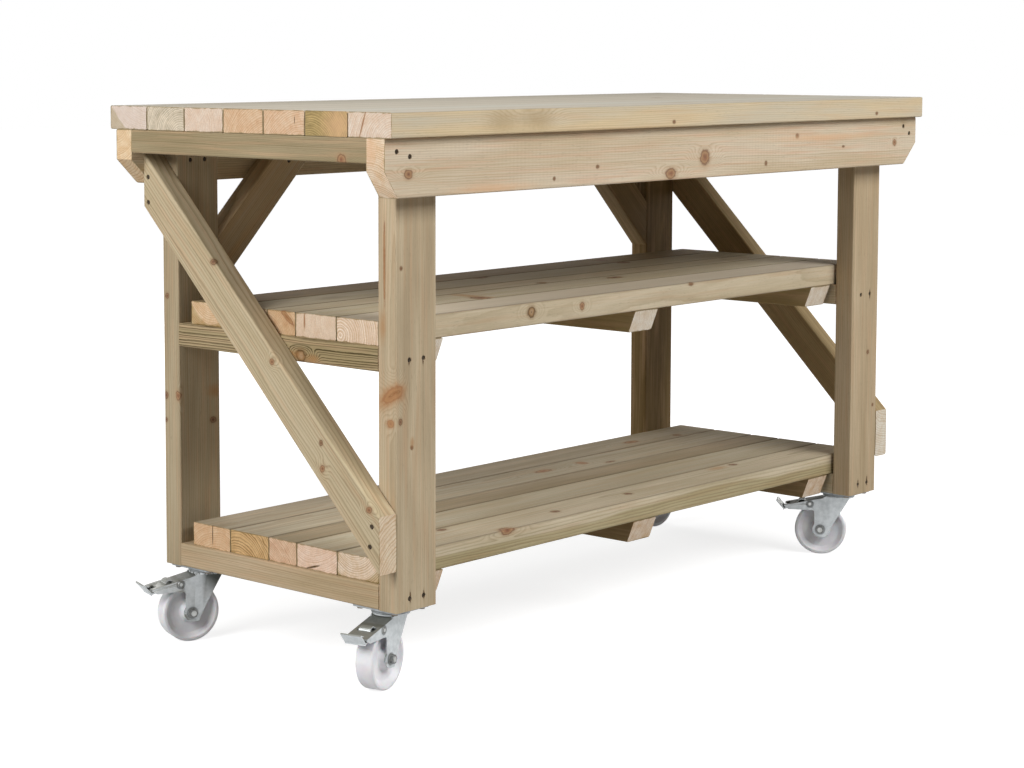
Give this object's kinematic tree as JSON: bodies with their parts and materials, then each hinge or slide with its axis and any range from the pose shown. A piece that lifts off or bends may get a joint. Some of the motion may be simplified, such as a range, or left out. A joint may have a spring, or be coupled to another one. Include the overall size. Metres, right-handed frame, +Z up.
{
  "type": "workbench",
  "caption": "Timber workbench with a board top, two slatted board shelves and diagonal braces, standing on braked swivel casters.",
  "frame": {"origin": "on the floor under the middle of the bench", "axes": "+X along the length towards the right end, +Y from the front to the rear, +Z up"},
  "size_m": [1.4822, 0.632, 0.883],
  "materials": {
    "treated_pine": "planed treated softwood, matt",
    "top_pine": "planed treated softwood, matt, slightly weathered",
    "shelf_pine": "planed treated softwood, matt",
    "zinc_steel": "bright zinc plated pressed steel",
    "zinc_fixings": "zinc plated screws and bolts",
    "white_nylon": "moulded nylon, satin"
  },
  "bodies": {
    "bench": {"top_board_1": "top_pine", "top_board_2": "top_pine", "top_board_3": "top_pine", "top_board_4": "top_pine", "top_board_5": "top_pine", "top_board_6": "top_pine", "top_board_7": "top_pine", "front_apron": "treated_pine", "rear_apron": "treated_pine", "left_top_rail": "treated_pine", "middle_top_rail": "treated_pine", "right_top_rail": "treated_pine", "front_left_leg": "treated_pine", "front_right_leg": "treated_pine", "rear_left_leg": "treated_pine", "rear_right_leg": "treated_pine", "lower_left_rail": "treated_pine", "lower_right_rail": "treated_pine", "upper_left_rail": "treated_pine", "upper_right_rail": "treated_pine", "lower_bearers": "treated_pine", "upper_bearers": "treated_pine", "lower_shelf_1": "shelf_pine", "lower_shelf_2": "shelf_pine", "lower_shelf_3": "shelf_pine", "lower_shelf_4": "shelf_pine", "lower_shelf_5": "shelf_pine", "upper_shelf_1": "shelf_pine", "upper_shelf_2": "shelf_pine", "upper_shelf_3": "shelf_pine", "upper_shelf_4": "shelf_pine", "upper_shelf_5": "shelf_pine", "left_end_brace": "treated_pine", "right_end_brace": "treated_pine", "left_knee_brace": "treated_pine", "right_knee_brace": "treated_pine", "frame_screws": "zinc_fixings", "top_screws": "zinc_fixings", "shelf_screws": "zinc_fixings", "caster_bolts": "zinc_fixings", "caster_fl_plate": "zinc_steel", "caster_fr_plate": "zinc_steel", "caster_rl_plate": "zinc_steel", "caster_rr_plate": "zinc_steel"},
    "swivel_fl": {"caster_fl_fork": "zinc_steel", "caster_fl_axle": "zinc_fixings"},
    "wheel_fl": {"caster_fl_wheel": "white_nylon"},
    "pedal_fl": {"caster_fl_pedal": "zinc_steel"},
    "swivel_fr": {"caster_fr_fork": "zinc_steel", "caster_fr_axle": "zinc_fixings"},
    "wheel_fr": {"caster_fr_wheel": "white_nylon"},
    "pedal_fr": {"caster_fr_pedal": "zinc_steel"},
    "swivel_rl": {"caster_rl_fork": "zinc_steel", "caster_rl_axle": "zinc_fixings"},
    "wheel_rl": {"caster_rl_wheel": "white_nylon"},
    "pedal_rl": {"caster_rl_pedal": "zinc_steel"},
    "swivel_rr": {"caster_rr_fork": "zinc_steel", "caster_rr_axle": "zinc_fixings"},
    "wheel_rr": {"caster_rr_wheel": "white_nylon"},
    "pedal_rr": {"caster_rr_pedal": "zinc_steel"}
  },
  "joints": [
    {"name": "swivel_fl_turn", "type": "hinge", "parent": "bench", "child": "swivel_fl", "pos_m": [-0.628, -0.211, 0.125], "axis": [0, 0, 1], "continuous": true},
    {"name": "wheel_fl_spin", "type": "hinge", "parent": "swivel_fl", "child": "wheel_fl", "pos_m": [-0.66113, -0.21865, 0.049], "axis": [0.225, -0.9744, 0], "continuous": true},
    {"name": "pedal_fl_press", "type": "hinge", "parent": "swivel_fl", "child": "pedal_fl", "pos_m": [-0.68062, -0.22315, 0.09808], "axis": [0.225, -0.9744, 0], "range_deg": [0, 8]},
    {"name": "swivel_fr_turn", "type": "hinge", "parent": "bench", "child": "swivel_fr", "pos_m": [0.628, -0.211, 0.125], "axis": [0, 0, 1], "continuous": true},
    {"name": "wheel_fr_spin", "type": "hinge", "parent": "swivel_fr", "child": "wheel_fr", "pos_m": [0.611, -0.18155, 0.049], "axis": [-0.866, -0.5, 0], "continuous": true},
    {"name": "pedal_fr_press", "type": "hinge", "parent": "swivel_fr", "child": "pedal_fr", "pos_m": [0.601, -0.16423, 0.09808], "axis": [-0.866, -0.5, 0], "range_deg": [0, 8]},
    {"name": "swivel_rl_turn", "type": "hinge", "parent": "bench", "child": "swivel_rl", "pos_m": [-0.628, 0.211, 0.125], "axis": [0, 0, 1], "continuous": true},
    {"name": "wheel_rl_spin", "type": "hinge", "parent": "swivel_rl", "child": "wheel_rl", "pos_m": [-0.65995, 0.22263, 0.049], "axis": [-0.342, -0.9397, 0], "continuous": true},
    {"name": "pedal_rl_press", "type": "hinge", "parent": "swivel_rl", "child": "pedal_rl", "pos_m": [-0.67874, 0.22947, 0.09808], "axis": [-0.342, -0.9397, 0], "range_deg": [0, 8]},
    {"name": "swivel_rr_turn", "type": "hinge", "parent": "bench", "child": "swivel_rr", "pos_m": [0.628, 0.211, 0.125], "axis": [0, 0, 1], "continuous": true},
    {"name": "wheel_rr_spin", "type": "hinge", "parent": "swivel_rr", "child": "wheel_rr", "pos_m": [0.59433, 0.21573, 0.049], "axis": [-0.1392, -0.9903, 0], "continuous": true},
    {"name": "pedal_rr_press", "type": "hinge", "parent": "swivel_rr", "child": "pedal_rr", "pos_m": [0.57453, 0.21851, 0.09808], "axis": [-0.1392, -0.9903, 0], "range_deg": [0, 8]}
  ]
}
